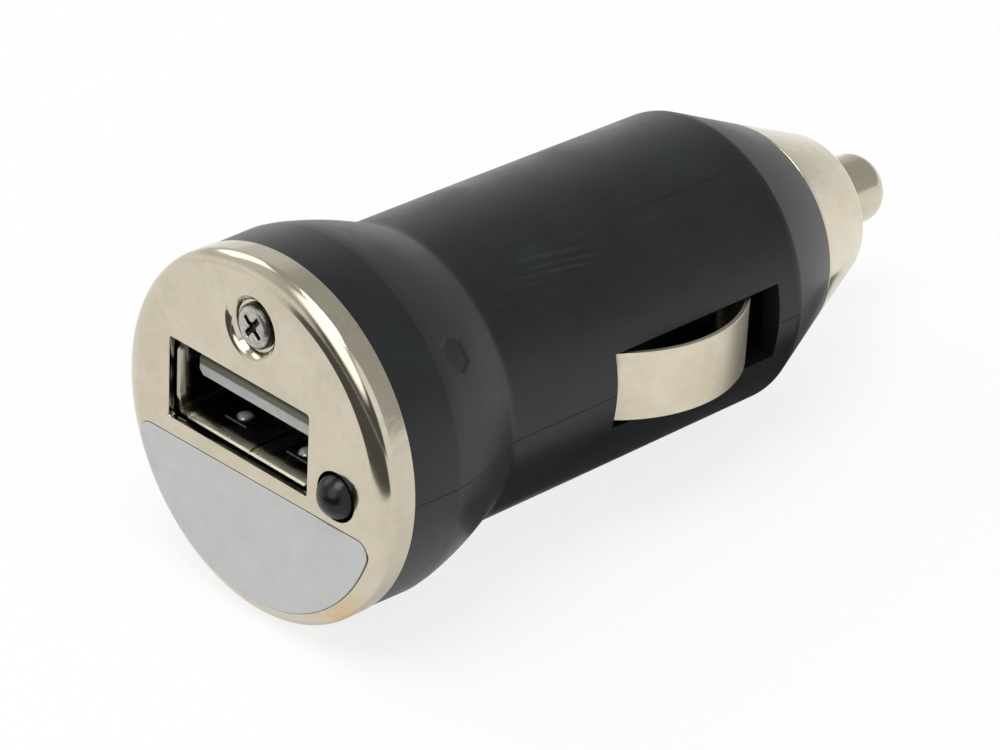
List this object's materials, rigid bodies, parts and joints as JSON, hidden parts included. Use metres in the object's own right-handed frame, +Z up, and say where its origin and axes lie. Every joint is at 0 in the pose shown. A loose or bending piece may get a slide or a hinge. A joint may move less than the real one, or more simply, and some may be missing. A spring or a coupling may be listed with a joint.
{
  "type": "car usb charger plug",
  "caption": "Round plug for a car's power socket with a USB outlet in its metal face, spring side contacts and a sprung centre pin.",
  "frame": {"origin": "on the barrel's axis, where the shoulder meets the straight barrel, which is where the plug stops in its socket", "axes": "+Y along the plug from its face to the nose pin, +Z up towards the screw and away from the label, +X towards the indicator lamp"},
  "size_m": [0.0246, 0.0579, 0.0246],
  "materials": {
    "black_plastic": "satin moulded plastic with fine scuffs",
    "black_plastic_lower": "satin moulded plastic with fine scuffs",
    "face_metal": "warm plated sheet, lightly mottled",
    "screw_metal": "plated steel",
    "label_film": "satin film",
    "lamp_lens": "dark clear resin",
    "socket_metal": "plated sheet",
    "tongue_plastic": "matt",
    "gilt_contact": "thin gilding",
    "board_laminate": "solder mask",
    "chip_plastic": "matt",
    "tinned_metal": "tinned",
    "ferrite": "matt ferrite",
    "copper_wire": "enamelled wire",
    "can_metal": "sleeved can",
    "ceramic_body": "matt",
    "contact_metal": "warm plated spring strip",
    "contact_metal_left": "warm plated spring strip",
    "ring_metal": "warm plating",
    "pin_metal": "warm plating",
    "spring_steel": "drawn wire"
  },
  "bodies": {
    "housing": {"upper_shell": "black_plastic", "lower_shell": "black_plastic_lower", "face_plate": "face_metal", "face_screw": "screw_metal", "blank_label": "label_film", "indicator_lamp": "lamp_lens", "lamp_upper_lead": "tinned_metal", "lamp_lower_lead": "tinned_metal", "usb_shell": "socket_metal", "usb_tongue": "tongue_plastic", "usb_power_contact": "gilt_contact", "usb_minus_contact": "gilt_contact", "usb_plus_contact": "gilt_contact", "usb_ground_contact": "gilt_contact", "circuit_board": "board_laminate", "converter_chip": "chip_plastic", "chip_leads": "tinned_metal", "coil_core": "ferrite", "coil_winding": "copper_wire", "input_capacitor": "can_metal", "output_capacitor": "can_metal", "filter_capacitor": "can_metal", "rectifier_diode": "chip_plastic", "ceramic_capacitor_a": "ceramic_body", "ceramic_capacitor_b": "ceramic_body", "chip_resistor_a": "chip_plastic", "chip_resistor_b": "chip_plastic", "right_ground_strap": "tinned_metal", "left_ground_strap": "tinned_metal", "nose_ring": "ring_metal", "pin_spring": "spring_steel", "spring_terminal": "tinned_metal"},
    "pin": {"centre_pin": "pin_metal"},
    "right_contact": {"right_side_contact": "contact_metal"},
    "left_contact": {"left_side_contact": "contact_metal_left"}
  },
  "joints": [
    {"name": "pin_press", "type": "slide", "parent": "housing", "child": "pin", "axis": [0, -1, 0], "range_m": [0, 0.003], "stiffness_N_per_m": 800, "springref_m": -0.002, "deforming": ["pin_spring"]},
    {"name": "right_contact_flex", "type": "hinge", "parent": "housing", "child": "right_contact", "pos_m": [0.0072, 0.02187, 0.0001], "axis": [0, 0, 1], "range_deg": [-22.5, 0], "stiffness_Nm_per_rad": 0.12, "springref_deg": 5.73},
    {"name": "left_contact_flex", "type": "hinge", "parent": "housing", "child": "left_contact", "pos_m": [-0.0072, 0.02187, 0.0001], "axis": [0, 0, 1], "range_deg": [0, 22.5], "stiffness_Nm_per_rad": 0.12, "springref_deg": -5.73}
  ]
}
